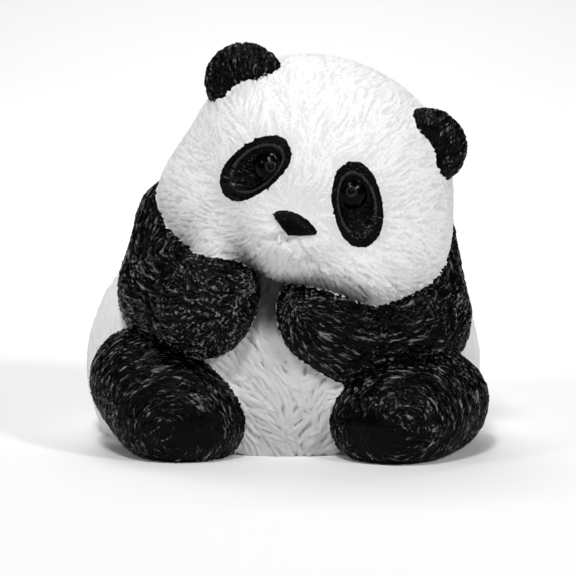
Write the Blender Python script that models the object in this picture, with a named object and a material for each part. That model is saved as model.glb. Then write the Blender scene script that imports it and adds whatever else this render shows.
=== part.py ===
"""A seated panda figurine, cast in one piece.

The body is drawn as rounded forms, which run into each other with soft joints. Its head leans to one
side over folded arms. Locks of fur are carved over it, and it stands on a flat underside.
The figure faces -Y, and the origin is under the middle of it, on the surface it stands on.
"""
import bmesh
import bpy
import numpy as np
from mathutils import Euler, Matrix, Vector

# Driving dimensions in metres
FIGURE_HEIGHT = 0.100
LOCK_LENGTH = 0.0120
LOCK_WIDTH = 0.0054
LOCK_HEIGHT = 0.0011
LOCK_SPACING = 0.0044
GRAIN = 0.0007
TRIANGLES = 7300
PATTERN_SEED = 41

# The forms below are measured in hundredths of the figure's height. X runs to the viewer's right,
# Y away from the viewer, and Z up, with the underside at Z = 0
FORMS_TALL = 99.09
UNIT = FIGURE_HEIGHT / FORMS_TALL
BELOW = -1.5
SOFT_LIMB = 1.2

# The head leans over, looks down and turns a little. Its forms have a frame of their own
HEAD_AT = (7.6, -5.0, 66.2)
HEAD_TURN = (11.0, 19.0, -6.5)

# Each egg has a centre, three radii and a turn in degrees
EGGS = {
    "trunk": (
        ((-0.9, 11, 17), (49.5, 35, 42), (0, 0, 0)),
        ((2, 8, 44), (36, 28, 30), (0, 0, 0)),
        ((2, -2, 17), (27, 21, 24), (0, 0, 0)),
        ((0, 41, 11), (7, 8, 7), (0, 0, 0)),
    ),
    "head": (
        ((0, 0, 2.2), (32.8, 30.0, 27.4), (0, 0, 0)),
        ((19.0, -5, -6.4), (17.2, 18, 15.2), (0, 0, 0)),
        ((-18.6, -5.5, -10.7), (17.5, 17.5, 16.2), (0, 0, 0)),
        ((0, -25.5, -6.5), (11, 8.5, 7.5), (0, 0, 0)),
        ((0, -18.5, -11.6), (12.5, 10.5, 8.2), (0, 0, 0)),
        ((15.5, -15.5, -12.4), (11.5, 12, 10.5), (0, 0, 0)),
        ((-15.2, -21.5, -18.6), (5.5, 5.5, 5.5), (0, 0, 0)),
    ),
    "left_leg": (
        ((-29.2, -10, 13.5), (19.8, 21, 14.8), (0, 28, 0)),
        ((-25.3, -20, 9), (15.2, 13, 12), (0, 0, 0)),
    ),
    "right_leg": (
        ((29.6, -12, 11.5), (19, 21, 12.6), (0, -10, 0)),
        ((35.2, -6, 8.9), (13, 17, 12), (0, 0, 0)),
        ((26, -21.5, 9), (15.2, 14, 12), (0, 0, 0)),
    ),
}

# Each limb bar has two ends with a radius at each
BARS = {
    "left_arm": (
        ((-24.9, 0.5, 54.0), (-28, -6, 41), 12.3, 12.1),
        ((-28, -9.5, 36.2), (-20.4, -22, 36.3), 11.9, 11.7),
        ((-20, -20, 40), (-14.4, -22.4, 41.6), 8, 6.6),
    ),
    "right_arm": (
        ((30.2, 6, 50), (32.4, -6, 33.5), 11.6, 12.1),
        ((31.5, -7, 29.5), (15, -15.8, 28), 12, 11.6),
        ((15, -15.8, 28.6), (8.8, -21.5, 33), 11.8, 10.3),
        ((5.2, -22, 37.6), (11, -20, 38), 5.6, 7.5),
    ),
}
SOFTNESS = {"trunk": 8, "head": 6, "left_arm": 6, "right_arm": 5, "left_leg": 5, "right_leg": 5}
PARTS = ("trunk", "head", "left_arm", "right_arm", "left_leg", "right_leg", "right_ear", "left_ear")

# Ears, eyes, nose and mouth in the head's frame. Side 1 is the viewer's right, -1 the left
EAR = {1: (23.0, -5.0, 18.2, 9.0), -1: (23.4, -6.5, 18.4, 9.4)}
EAR_THICK = 5.2
EAR_DISH = (4.7, 3.4, 5.0)
EYE = {1: (12.9, 5.5), -1: (-13.3, 5.4)}
EYE_LEAN = {1: 27.0, -1: 34.0}
EYE_YAW = 20.0
EYE_PITCH = -9.0
BOWL = (4.8, 4.1, 9.5)
BOWL_OUT = 1.4
BALL = 4.0
BALL_IN = 3.6
NOSE = (0.3, -1.7)
NOSE_EGGS = (((0, 1.1, 0.7), (5.4, 2.4, 2.2)), ((0, 1.0, -1.3), (2.8, 2.2, 2.7)))
MOUTH_TOP = (0.1, -5.4)
MOUTH_ENDS = ((-5.0, -8.2), (6.6, -9.8))
CREASE = 0.9

# Middles of the smooth soles, with the width and height of each
SOLES = (((-23.0, 8.0), (8.7, 6.2)), ((21.2, 7.0), (7.5, 6.2)))


def turned(degrees):
    """Rotation matrix for three angles in degrees about X, then Y, then Z."""
    return np.array(Euler(np.radians(degrees)).to_matrix())


HEAD_MATRIX = turned(HEAD_TURN)


def egg(points, centre, radii, turn=(0, 0, 0)):
    """Distance from points to an egg form, close to the true one near its skin."""
    local = (points - np.array(centre, float)) @ turned(turn)
    radii = np.array(radii, float)
    near = np.sqrt(((local / radii) ** 2).sum(-1))
    slope = np.sqrt(((local / radii**2) ** 2).sum(-1))
    return near * (near - 1.0) / np.maximum(slope, 1e-9)


def bar(points, start, end, radius_start, radius_end):
    """Distance from points to a limb bar with round ends."""
    start, end = np.array(start, float), np.array(end, float)
    along = end - start
    share = np.clip((points - start) @ along / (along @ along), 0, 1)
    axis = start + share[..., None] * along
    return np.linalg.norm(points - axis, axis=-1) - (radius_start + share * (radius_end - radius_start))


def joined(first, second, softness):
    """Union of two forms with a soft joint."""
    share = np.clip(0.5 + 0.5 * (second - first) / softness, 0, 1)
    return second + (first - second) * share - softness * share * (1 - share)


def form(points, name):
    """Distance to one named part's eggs or bars."""
    fields = [egg(points, *values) for values in EGGS.get(name, ())]
    fields += [bar(points, *values) for values in BARS.get(name, ())]
    total = fields[0]
    for field in fields[1:]:
        total = joined(total, field, SOFTNESS[name])
    return total


def on_face(x, z):
    """Point on the front of the head's skin at a place in the head's frame."""
    outside, inside = -50.0, -10.0
    for _ in range(40):
        middle = (outside + inside) / 2
        if form(np.array([[x, middle, z]]), "head")[0] > 0:
            outside = middle
        else:
            inside = middle
    return np.array([x, middle, z])


EYE_POINTS = {side: on_face(*EYE[side]) for side in EYE}
NOSE_POINT = on_face(*NOSE)


def eye_turn(side):
    """Turn of an eye bowl. Its long way leans out at the bottom."""
    return (EYE_PITCH, -side * EYE_LEAN[side], side * EYE_YAW)


def features():
    """Eggs cut out of the head and eggs added to it, each with its centre, radii and matrix."""
    cuts, added = [], []
    for side, place in EYE_POINTS.items():
        matrix = turned(eye_turn(side))
        across, inward, along = matrix.T
        x, y, z, _ = EAR[side]
        cuts.append((place - BOWL_OUT * inward, BOWL, matrix))
        cuts.append((np.array((side * (x + 0.3), y - 6.2, z + 1.0)), EAR_DISH, np.eye(3)))
        added.append((place + 3.1 * along - side * 0.7 * across + BALL_IN * inward, (BALL,) * 3, matrix))
    top = on_face(*MOUTH_TOP)
    for end in MOUTH_ENDS:
        way = Vector(on_face(*end) - top)
        matrix = np.array(way.to_track_quat("X", "Z").to_matrix())
        cuts.append((top + np.array(way) / 2, (way.length / 2, CREASE, CREASE), matrix))
    for offset, radii in NOSE_EGGS:
        added.append((NOSE_POINT + np.array(offset), radii, np.eye(3)))
    return cuts, added


def ear(points, side):
    """Distance to one round ear."""
    local = (points - np.array(HEAD_AT)) @ HEAD_MATRIX
    x, y, z, radius = EAR[side]
    return egg(local, (side * x, y, z), (radius, EAR_THICK, radius))


def part_fields(points):
    """Distances to every part of the figure, one row for each."""
    local = (points - np.array(HEAD_AT)) @ HEAD_MATRIX
    fields = [form(local if name == "head" else points, name) for name in PARTS[:6]]
    return np.stack(fields + [ear(points, 1), ear(points, -1)])


def figure(points):
    """Distance to the whole smooth figure, with the parts softly joined."""
    fields = part_fields(points)
    total = fields[0]
    for field in fields[1:]:
        total = joined(total, field, SOFT_LIMB)
    return total


def slopes(points, step=0.12):
    """Direction in which the distance to the figure grows, for each point."""
    rows = []
    for axis in np.eye(3) * step:
        rows.append((figure(points + axis) - figure(points - axis)) / (2 * step))
    return np.stack(rows, -1)


def settled(points, rounds=5):
    """Points moved on to the smooth skin."""
    points = points.copy()
    for _ in range(rounds):
        slope = slopes(points)
        size = np.maximum((slope**2).sum(-1), 0.2)
        points -= np.clip(figure(points) / size, -1.5, 1.5)[:, None] * slope
    return points


def unit(vectors):
    """Vectors made one long."""
    return vectors / np.maximum(np.linalg.norm(vectors, axis=-1, keepdims=True), 1e-9)


def head_flow(points):
    """Fur on the head runs out from the nose, and down the back."""
    local = (points - np.array(HEAD_AT)) @ HEAD_MATRIX
    away = unit(local - NOSE_POINT)
    back = np.clip((local[:, 1:2] + 5) / 25, 0, 1)
    return (away * (1 - back) + np.array((0, 0.2, -1.0)) * back) @ HEAD_MATRIX.T


def ear_flow(points, side):
    """Fur on an ear runs out to its rim."""
    local = (points - np.array(HEAD_AT)) @ HEAD_MATRIX
    x, y, z, _ = EAR[side]
    return (local - np.array((side * (x - 6), y, z - 6))) @ HEAD_MATRIX.T


def trunk_flow(points):
    """Fur on the body runs down, and together towards the middle of the belly."""
    gather = np.where((points[:, 1] < 0) & (points[:, 2] < 32), -0.8, 0.0) * np.clip((points[:, 0] - 2) / 14, -1, 1)
    return np.stack([gather, np.zeros(len(points)), -np.ones(len(points))], -1)


def arm_flow(points, name):
    """Fur on an arm follows its bars, from the shoulder to the paw."""
    total = np.zeros_like(points)
    for start, end, radius_start, radius_end in BARS[name]:
        reach = bar(points, start, end, radius_start, radius_end)
        weight = np.exp(-np.clip(reach, -6, 30) / 2.5)[:, None]
        total += weight * unit(np.array(end, float) - np.array(start, float))
    return total


def leg_flow(points, side):
    """Fur on a leg sweeps round the foot."""
    middle = np.array((side * 26.0, -8.0, 8.0))
    return np.cross(np.array((0.0, -side * 1.0, 0.25)), points - middle)


def flows(points, owner):
    """Direction of the fur at each point, for the part that owns it."""
    found = np.zeros_like(points)
    makers = (trunk_flow, head_flow, lambda p: arm_flow(p, "left_arm"), lambda p: arm_flow(p, "right_arm"),
              lambda p: leg_flow(p, -1), lambda p: leg_flow(p, 1), lambda p: ear_flow(p, 1),
              lambda p: ear_flow(p, -1))
    for index, maker in enumerate(makers):
        mine = owner == index
        if mine.any():
            found[mine] = maker(points[mine])
    return found


def carving_strength(points, owner):
    """Share of the full lock height at each point: none on eyes, nose, dishes and soles."""
    local = (points - np.array(HEAD_AT)) @ HEAD_MATRIX
    share = np.choose(owner, (1.0, 0.6, 1.0, 1.0, 0.9, 0.9, 0.5, 0.5))
    for side, place in EYE_POINTS.items():
        across, _, along = ((local - place) @ turned(eye_turn(side))).T
        near = np.sqrt((across / 6.4) ** 2 + (along / 10.8) ** 2)
        share = np.where((owner == 1) & (local[:, 1] < -12), share * np.clip(near * 3 - 3, 0, 1), share)
    muzzle = np.linalg.norm((local - NOSE_POINT) / np.array((9.0, 9.0, 8.0)), axis=-1)
    share = np.where(owner == 1, share * np.clip(muzzle * 2 - 1, 0, 1), share)
    for (x, z), (wide, tall) in SOLES:
        near = ((points[:, 0] - x) / wide) ** 2 + ((points[:, 2] - z) / tall) ** 2
        share = np.where((owner > 3) & (owner < 6) & (points[:, 1] < -15), share * (1 - np.exp(-near)), share)
    behind = np.clip((points[:, 1] - 8) / 20, 0, 1)
    return share * np.clip(points[:, 2] / 3, 0, 1) * (1 - 0.35 * behind)


def lock_seeds():
    """Evenly scattered places on the skin, one for each lock of fur."""
    spacing = LOCK_SPACING / UNIT
    lows, highs = np.array((-52.0, -40.0, 0.0)), np.array((52.0, 52.0, 102.0))
    counts = np.ceil((highs - lows) / spacing).astype(int)
    grid = np.stack(np.meshgrid(*[np.arange(count) for count in counts], indexing="ij"), -1).reshape(-1, 3)
    chance = np.random.default_rng(PATTERN_SEED)
    points = lows + (grid + chance.random(grid.shape)) * spacing
    points = points[np.abs(figure(points)) < spacing / 2]
    points = settled(points)
    return points[(np.abs(figure(points)) < 0.1) & (points[:, 2] > 1.5)]


def carve(points, normals):
    """Height of the fur above the smooth skin, at each point."""
    seeds = lock_seeds()
    chance = np.random.default_rng(PATTERN_SEED + 1)
    owner = part_fields(seeds).argmin(0)
    upward = unit(slopes(seeds))
    way = flows(seeds, owner)
    way = unit(way - (way * upward).sum(-1, keepdims=True) * upward)
    side_way = np.cross(upward, way)
    angle = np.radians(chance.normal(0, 12, len(seeds)))[:, None]
    way, side_way = way * np.cos(angle) + side_way * np.sin(angle), side_way * np.cos(angle) - way * np.sin(angle)
    tall = LOCK_HEIGHT / UNIT * carving_strength(seeds, owner) * chance.uniform(0.7, 1.1, len(seeds))
    half_long = LOCK_LENGTH / UNIT / 2 * chance.uniform(0.75, 1.15, len(seeds))
    half_wide = LOCK_WIDTH / UNIT / 2 * chance.uniform(0.8, 1.2, len(seeds))
    height = np.zeros(len(points))
    for index in range(len(seeds)):
        offset = points - seeds[index]
        near = np.flatnonzero((np.abs(offset) < half_long[index]).all(-1))
        near = near[normals[near] @ upward[index] > 0.3]
        along = offset[near] @ way[index] / half_long[index]
        across = offset[near] @ side_way[index] / half_wide[index]
        taper = np.clip(1 - along**2, 0, 1)
        ridge = np.clip(1 - (across / np.maximum(taper**0.7, 1e-3)) ** 2, 0, 1) * taper**0.6
        height[near] = np.maximum(height[near], tall[index] * ridge * (0.75 + 0.25 * along))
    return height


def rough_body():
    """All forms as overlapping balls and cones in one mesh, in metres."""
    mesh = bmesh.new()
    lean = Matrix.Translation(Vector(HEAD_AT)) @ Matrix(HEAD_MATRIX.tolist()).to_4x4()
    scale = Matrix.Scale(UNIT, 4)
    for name, eggs in EGGS.items():
        frame = lean if name == "head" else Matrix()
        for centre, radii, turn in eggs:
            place = Matrix.LocRotScale(Vector(centre), Euler(np.radians(turn)), Vector(radii))
            bmesh.ops.create_icosphere(mesh, subdivisions=4, radius=1.0, matrix=scale @ frame @ place)
    for side, (x, y, z, radius) in EAR.items():
        place = Matrix.LocRotScale(Vector((side * x, y, z)), None, Vector((radius, EAR_THICK, radius)))
        bmesh.ops.create_icosphere(mesh, subdivisions=4, radius=1.0, matrix=scale @ lean @ place)
    for bars in BARS.values():
        for start, end, radius_start, radius_end in bars:
            start, end = Vector(start), Vector(end)
            for centre, radius in ((start, radius_start), (end, radius_end)):
                ball = Matrix.Translation(centre)
                bmesh.ops.create_icosphere(mesh, subdivisions=4, radius=radius, matrix=scale @ ball)
            turn = (end - start).to_track_quat("Z", "Y").to_matrix().to_4x4()
            cone = Matrix.Translation((start + end) / 2) @ turn
            bmesh.ops.create_cone(mesh, cap_ends=True, segments=48, radius1=radius_start, radius2=radius_end,
                                  depth=(end - start).length, matrix=scale @ cone)
    return mesh


def cut_level(mesh, height):
    """Cut a closed mesh flat at a height, keep what is above, and close the cut."""
    geometry = list(mesh.verts) + list(mesh.edges) + list(mesh.faces)
    cut = bmesh.ops.bisect_plane(mesh, geom=geometry, dist=1e-7, plane_co=(0, 0, height),
                                 plane_no=(0, 0, 1), clear_inner=True)
    edges = [item for item in cut["geom_cut"] if isinstance(item, bmesh.types.BMEdge)]
    bmesh.ops.holes_fill(mesh, edges=edges, sides=0)
    bmesh.ops.triangulate(mesh, faces=[face for face in mesh.faces if len(face.verts) > 4])
    bmesh.ops.recalc_face_normals(mesh, faces=mesh.faces)


def holder_of(mesh, name):
    """An object that holds a working mesh."""
    data = bpy.data.meshes.new(name)
    mesh.to_mesh(data)
    mesh.free()
    holder = bpy.data.objects.new(name, data)
    bpy.context.scene.collection.objects.link(holder)
    return holder


def with_modifier(mesh, kind, settings):
    """A bmesh run through one modifier."""
    holder = holder_of(mesh, "working")
    modifier = holder.modifiers.new(kind.lower(), kind)
    for name, value in settings.items():
        setattr(modifier, name, value)
    shown = holder.evaluated_get(bpy.context.evaluated_depsgraph_get())
    changed = bmesh.new()
    changed.from_mesh(shown.to_mesh())
    shown.to_mesh_clear()
    bpy.data.objects.remove(holder)
    return changed


def with_egg(mesh, values, operation):
    """A body with one egg of the head's frame cut out of it or added to it."""
    centre, radii, matrix = values
    lean = Matrix.Translation(Vector(HEAD_AT)) @ Matrix(HEAD_MATRIX.tolist()).to_4x4()
    turn = Matrix(matrix.tolist()).to_quaternion()
    place = Matrix.LocRotScale(Vector(centre), turn, Vector(radii))
    tool = bmesh.new()
    rings = 3 if max(radii) > 6 else 2
    bmesh.ops.create_icosphere(tool, subdivisions=rings, radius=1.0, matrix=Matrix.Scale(UNIT, 4) @ lean @ place)
    holder = holder_of(tool, "tool")
    mesh = with_modifier(mesh, "BOOLEAN", {"solver": "EXACT", "operation": operation, "object": holder})
    bpy.data.objects.remove(holder)
    return mesh


def carved_body():
    """The whole figure as one closed mesh, settled on its smooth skin and carved."""
    mesh = with_modifier(rough_body(), "REMESH", {"mode": "VOXEL", "voxel_size": GRAIN, "adaptivity": 0.0})
    cut_level(mesh, BELOW * UNIT)
    for _ in range(3):
        above = [vert for vert in mesh.verts if vert.co.z > (BELOW + 0.2) * UNIT]
        bmesh.ops.smooth_vert(mesh, verts=above, factor=0.5, use_axis_x=True, use_axis_y=True, use_axis_z=True)
        points = np.array([vert.co for vert in above]) / UNIT
        points = settled(points, 3)
        for vert, place in zip(above, points * UNIT):
            vert.co = place
    normals = unit(slopes(points))
    points += normals * carve(points, normals)[:, None]
    for vert, place in zip(above, points * UNIT):
        vert.co = place
    bmesh.ops.triangulate(mesh, faces=mesh.faces)
    share = TRIANGLES / len(mesh.faces)
    mesh = with_modifier(mesh, "DECIMATE", {"decimate_type": "COLLAPSE", "ratio": share})
    cut_level(mesh, 0.0)
    cuts, added = features()
    for values in cuts:
        mesh = with_egg(mesh, values, "DIFFERENCE")
    for values in added:
        mesh = with_egg(mesh, values, "UNION")
    bmesh.ops.dissolve_degenerate(mesh, dist=5e-6, edges=mesh.edges)
    bmesh.ops.triangulate(mesh, faces=mesh.faces)
    return mesh


def paint():
    """Matt white paint, which covers most of the figure."""
    material = bpy.data.materials.new("white_paint")
    material.use_nodes = True
    shader = material.node_tree.nodes["Principled BSDF"]
    shader.inputs["Base Color"].default_value = (0.86, 0.86, 0.85, 1.0)
    shader.inputs["Roughness"].default_value = 0.55
    shader.inputs["Metallic"].default_value = 0.0
    return material


def build():
    """Make the figurine, with the origin under the middle of its box."""
    for old in list(bpy.data.objects):
        bpy.data.objects.remove(old)
    mesh = carved_body()
    corners = np.array([vert.co for vert in mesh.verts])
    middle = (corners.min(0) + corners.max(0)) / 2
    bmesh.ops.translate(mesh, verts=mesh.verts, vec=(-middle[0], -middle[1], 0.0))
    data = bpy.data.meshes.new("panda_figurine")
    mesh.to_mesh(data)
    mesh.free()
    data.materials.append(paint())
    data.shade_smooth()
    data.set_sharp_from_angle(angle=np.radians(50))
    figurine = bpy.data.objects.new("panda_figurine", data)
    bpy.context.scene.collection.objects.link(figurine)


build()
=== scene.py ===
"""Dressed model of a seated panda figurine: one casting with combed fur, painted white and black."""
import logging
import math
from dataclasses import astuple, dataclass
from enum import Enum
from functools import reduce
from itertools import chain
from typing import Any, Iterable, Union

import bmesh
import bpy
import numpy as np
from mathutils import Euler, Matrix, Vector


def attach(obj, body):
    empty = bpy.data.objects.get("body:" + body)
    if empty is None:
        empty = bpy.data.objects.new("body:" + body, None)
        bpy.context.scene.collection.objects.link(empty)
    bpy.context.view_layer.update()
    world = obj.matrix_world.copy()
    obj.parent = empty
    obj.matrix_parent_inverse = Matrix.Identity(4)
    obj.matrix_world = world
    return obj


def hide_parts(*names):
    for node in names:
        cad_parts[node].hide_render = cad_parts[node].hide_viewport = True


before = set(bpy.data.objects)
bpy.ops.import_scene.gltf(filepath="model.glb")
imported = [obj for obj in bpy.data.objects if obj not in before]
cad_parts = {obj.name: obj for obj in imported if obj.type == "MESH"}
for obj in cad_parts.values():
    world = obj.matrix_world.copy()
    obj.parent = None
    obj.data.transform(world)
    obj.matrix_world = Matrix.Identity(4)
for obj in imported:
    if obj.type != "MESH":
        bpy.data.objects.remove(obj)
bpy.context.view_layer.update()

LOG = logging.getLogger("panda_figurine")
NODE = "panda_figurine"

# Measures of the figure are hundredths of its height, turned into metres by UNIT.
# X runs to the viewer's right, Y away from the viewer and Z up, with the underside at Z = 0
FIGURE_HEIGHT = 0.100
FORMS_TALL = 99.09
UNIT = FIGURE_HEIGHT / FORMS_TALL
FORMS_MIDDLE = (-0.80, 6.12)
# Times that a ball's faces are split, and a distance that stands for nowhere near an iris
BALL_SPLITS = 5
FAR = 9.0

Array = np.ndarray
Triple = tuple[float, float, float]


class Side(Enum):
    """Side of the figure, as a viewer in front of it sees it."""

    LEFT = -1
    RIGHT = 1


class Part(Enum):
    """Part of the figure that owns a stretch of its skin."""

    TRUNK = 0
    HEAD = 1
    LEFT_ARM = 2
    RIGHT_ARM = 3
    LEFT_LEG = 4
    RIGHT_LEG = 5
    RIGHT_EAR = 6
    LEFT_EAR = 7


BLACK_PARTS = (Part.LEFT_ARM, Part.RIGHT_ARM, Part.LEFT_LEG, Part.RIGHT_LEG, Part.RIGHT_EAR, Part.LEFT_EAR)


def turned(degrees: Triple) -> Array:
    """Rotation matrix for three angles in degrees about X, then Y, then Z."""
    return np.array(Euler(np.radians(degrees)).to_matrix())


def unit(vectors: Array) -> Array:
    """Vectors made one long."""
    return vectors / np.maximum(np.linalg.norm(vectors, axis=-1, keepdims=True), 1e-9)


def smooth_step(low: float, high: float, values: Array) -> Array:
    """Values eased from 0 at low to 1 at high."""
    share = np.clip((values - low) / (high - low), 0, 1)
    return share * share * (3 - 2 * share)


def joined(first: Array, second: Array, softness: float) -> Array:
    """Distances to two forms joined softly, from the distances to each and the reach of the joint."""
    share = np.clip(0.5 + 0.5 * (second - first) / softness, 0, 1)
    return second + (first - second) * share - softness * share * (1 - share)


def hollowed(body: Array, tool: Array, softness: float) -> Array:
    """Distances to a form with another one scooped out of it, with a rounded edge."""
    return -joined(-body, tool, softness)


def blended(fields: Iterable[Array], softness: float) -> Array:
    """Distances to several forms that run into each other, from the distances to each."""
    return reduce(lambda first, second: joined(first, second, softness), fields)


@dataclass(frozen=True)
class Egg:
    """A rounded form with a centre, three radii and a turn in degrees."""

    centre: Triple
    radii: Triple
    turn: Triple = (0.0, 0.0, 0.0)

    def distance(self, points: Array) -> Array:
        """Distance to the egg's skin, negative inside.

        Args:
            points: Points to measure from.

        Returns:
            One distance for each point.
        """
        local = points - np.array(self.centre, float)
        if any(self.turn):
            local = local @ turned(self.turn)
        radii = np.array(self.radii, float)
        near = np.sqrt(((local / radii) ** 2).sum(-1))
        slope = np.sqrt(((local / radii**2) ** 2).sum(-1))
        return near * (near - 1.0) / np.maximum(slope, 1e-9)

    def add_to(self, mesh: bmesh.types.BMesh, frame_matrix: Matrix) -> None:
        """Add the egg to a mesh, from its own measures to metres by the frame's matrix."""
        place = Matrix.LocRotScale(Vector(self.centre), Euler(np.radians(self.turn)), Vector(self.radii))
        bmesh.ops.create_icosphere(mesh, subdivisions=BALL_SPLITS, radius=1.0, matrix=frame_matrix @ place)


@dataclass(frozen=True)
class Bar:
    """A limb bar with round ends and a radius at each."""

    start: Triple
    end: Triple
    radius_start: float
    radius_end: float

    def distance(self, points: Array) -> Array:
        """Distance to the bar's skin, negative inside.

        Args:
            points: Points to measure from.

        Returns:
            One distance for each point.
        """
        start, end = np.array(self.start, float), np.array(self.end, float)
        along = end - start
        share = np.clip((points - start) @ along / (along @ along), 0, 1)
        axis = start + share[..., None] * along
        return np.linalg.norm(points - axis, axis=-1) - (
            self.radius_start + share * (self.radius_end - self.radius_start))

    def add_to(self, mesh: bmesh.types.BMesh, frame_matrix: Matrix) -> None:
        """Add the bar to a mesh as a cone with a ball at each end.

        Args:
            mesh: Mesh that gets the bar.
            frame_matrix: Frame of the bar, from its own measures to metres.
        """
        start, end = Vector(self.start), Vector(self.end)
        for centre, radius in ((start, self.radius_start), (end, self.radius_end)):
            place = frame_matrix @ Matrix.Translation(centre)
            bmesh.ops.create_icosphere(mesh, subdivisions=BALL_SPLITS, radius=radius, matrix=place)
        turn = (end - start).to_track_quat("Z", "Y").to_matrix().to_4x4()
        place = frame_matrix @ Matrix.Translation((start + end) / 2) @ turn
        bmesh.ops.create_cone(mesh, cap_ends=True, segments=64, radius1=self.radius_start,
                              radius2=self.radius_end, depth=(end - start).length, matrix=place)

    def way(self) -> Array:
        """Direction of the bar, one long."""
        return unit(np.array(self.end, float) - np.array(self.start, float))


Form = Union[Egg, Bar]


def union(forms: Iterable[Form], points: Array, softness: float) -> Array:
    """Distances from points to several forms that run into each other."""
    return blended((form.distance(points) for form in forms), softness)


@dataclass
class Head:
    """The tilted head in a frame of its own, with bowls for the eyes, a nose, a mouth and two ears."""

    at: Triple = (7.6, -5.0, 66.2)
    turn: Triple = (11.0, 19.0, -6.5)
    softness: float = 6.0
    eggs: tuple[Egg, ...] = (
        Egg((0, 0, 2.2), (32.8, 30.0, 27.4)),
        Egg((19.0, -5, -6.4), (17.2, 18, 15.2)),
        Egg((-18.6, -5.5, -10.7), (17.5, 17.5, 16.2)),
        Egg((0, -25.5, -6.5), (11, 8.5, 7.5)),
        Egg((0, -18.5, -11.6), (12.5, 10.5, 8.2)),
        Egg((15.5, -15.5, -12.4), (11.5, 12, 10.5)),
        Egg((-15.2, -21.5, -18.6), (5.5, 5.5, 5.5)),
    )
    eye_places: tuple[tuple[float, float], ...] = ((-13.3, 5.4), (12.9, 5.5))
    eye_leans: tuple[float, ...] = (34.0, 27.0)
    eye_yaw: float = 20.0
    eye_pitch: float = -9.0
    patch: tuple[float, float] = (5.8, 10.3)
    bowl: Triple = (4.8, 4.1, 9.5)
    bowl_out: float = 1.4
    lip_height: float = 0.50
    ball: float = 4.0
    ball_in: float = 3.6
    ball_up: float = 2.7
    ball_over: tuple[float, float] = (1.5, 0.6)
    gaze: Triple = (0.0, -0.99, 0.14)
    nose_place: tuple[float, float] = (0.3, -1.7)
    nose_out: float = 0.9
    mouth_top: tuple[float, float] = (0.1, -5.4)
    mouth_ends: tuple[tuple[float, float], ...] = ((-5.0, -8.2), (6.6, -9.8))
    crease: float = 1.1
    ear_eggs: tuple[Egg, ...] = (
        Egg((-23.4, -6.5, 18.4), (9.4, 5.2, 9.4)),
        Egg((23.0, -5.0, 18.2), (9.0, 5.2, 9.0)),
    )
    dish: Triple = (4.9, 3.4, 5.2)

    def __post_init__(self) -> None:
        """Settle the places that depend on where the face's skin lies."""
        self.matrix = turned(self.turn)
        self.eye_points = [self.on_face(*place) for place in self.eye_places]
        self.nose_point = self.on_face(*self.nose_place)
        top = self.on_face(*self.mouth_top)
        self.creases = [Bar(tuple(top), tuple(self.on_face(*end)), self.crease, 0.5 * self.crease)
                        for end in self.mouth_ends]

    def local(self, points: Array) -> Array:
        """Points of the figure in the head's own frame."""
        return (points - np.array(self.at)) @ self.matrix

    def outward(self, vectors: Array) -> Array:
        """Vectors of the head's own frame in the figure's frame."""
        return vectors @ self.matrix.T

    def placed(self, point: Array) -> Array:
        """A point of the head's own frame in the figure's frame."""
        return self.outward(point) + np.array(self.at)

    def frame_matrix(self) -> Matrix:
        """The head's frame as a matrix in metres."""
        lean = Matrix.Translation(Vector(self.at)) @ Matrix(self.matrix.tolist()).to_4x4()
        return Matrix.Scale(UNIT, 4) @ lean

    def skin(self, local: Array) -> Array:
        """Distance to the plain head, for points in its own frame."""
        return union(self.eggs, local, self.softness)

    def on_face(self, x: float, z: float) -> Array:
        """Point on the front of the head's skin.

        Args:
            x: Place across the face.
            z: Place up the face.

        Returns:
            The point in the head's own frame.
        """
        outside, inside = -50.0, -10.0
        for _ in range(40):
            middle = (outside + inside) / 2
            if self.skin(np.array([[x, middle, z]]))[0] > 0:
                outside = middle
            else:
                inside = middle
        return np.array([x, middle, z])

    def index(self, side: Side) -> int:
        """Place of a side in the head's pairs."""
        return 0 if side is Side.LEFT else 1

    def eye_turn(self, side: Side) -> Triple:
        """Turn of an eye bowl, whose long way leans out at the bottom."""
        return (self.eye_pitch, -side.value * self.eye_leans[self.index(side)], side.value * self.eye_yaw)

    def in_eye(self, side: Side, local: Array) -> Array:
        """Points measured across, into and along an eye patch."""
        return (local - self.eye_points[self.index(side)]) @ turned(self.eye_turn(side))

    def eye_forms(self, side: Side) -> tuple[Egg, Egg]:
        """Bowl and eyeball of one eye.

        Args:
            side: Side of the face.

        Returns:
            The bowl to scoop out, and the ball to add.
        """
        place = self.eye_points[self.index(side)]
        across, inward, along = turned(self.eye_turn(side)).T
        bowl = Egg(tuple(place - self.bowl_out * inward), self.bowl, self.eye_turn(side))
        over = side.value * self.ball_over[self.index(side)]
        centre = place + self.ball_up * along - over * across + self.ball_in * inward
        return bowl, Egg(tuple(centre), (self.ball,) * 3)

    def ball_distance(self, local: Array) -> Array:
        """Distance to the nearer eyeball, for points in the head's own frame."""
        return np.min([self.eye_forms(side)[1].distance(local) for side in Side], axis=0)

    def iris(self, local: Array) -> Array:
        """Distance from an eyeball's line of sight, for points in front of the ball's middle.

        Args:
            local: Points in the head's own frame.

        Returns:
            One distance for each point, and FAR for all others.
        """
        aim = unit(np.array(self.gaze) @ self.matrix)
        found = np.full(len(local), FAR)
        for side in Side:
            ball = self.eye_forms(side)[1]
            offset = local - np.array(ball.centre)
            away = np.linalg.norm(offset - (offset @ aim)[:, None] * aim, axis=-1)
            found = np.where((ball.distance(local) < 0.6) & (offset @ aim > 0), away, found)
        return found

    def bowl_rim(self, local: Array) -> Array:
        """Distance from the rim of the nearer eye bowl, for points in the head's own frame."""
        skin = self.skin(local)
        return np.min([np.hypot(self.eye_forms(side)[0].distance(local), skin) for side in Side], axis=0)

    def nose_top(self, x: Array) -> Array:
        """Height of the nose's top edge, at places across the head."""
        return 0.15 - 0.062 * (x + 0.3) ** 2

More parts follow.
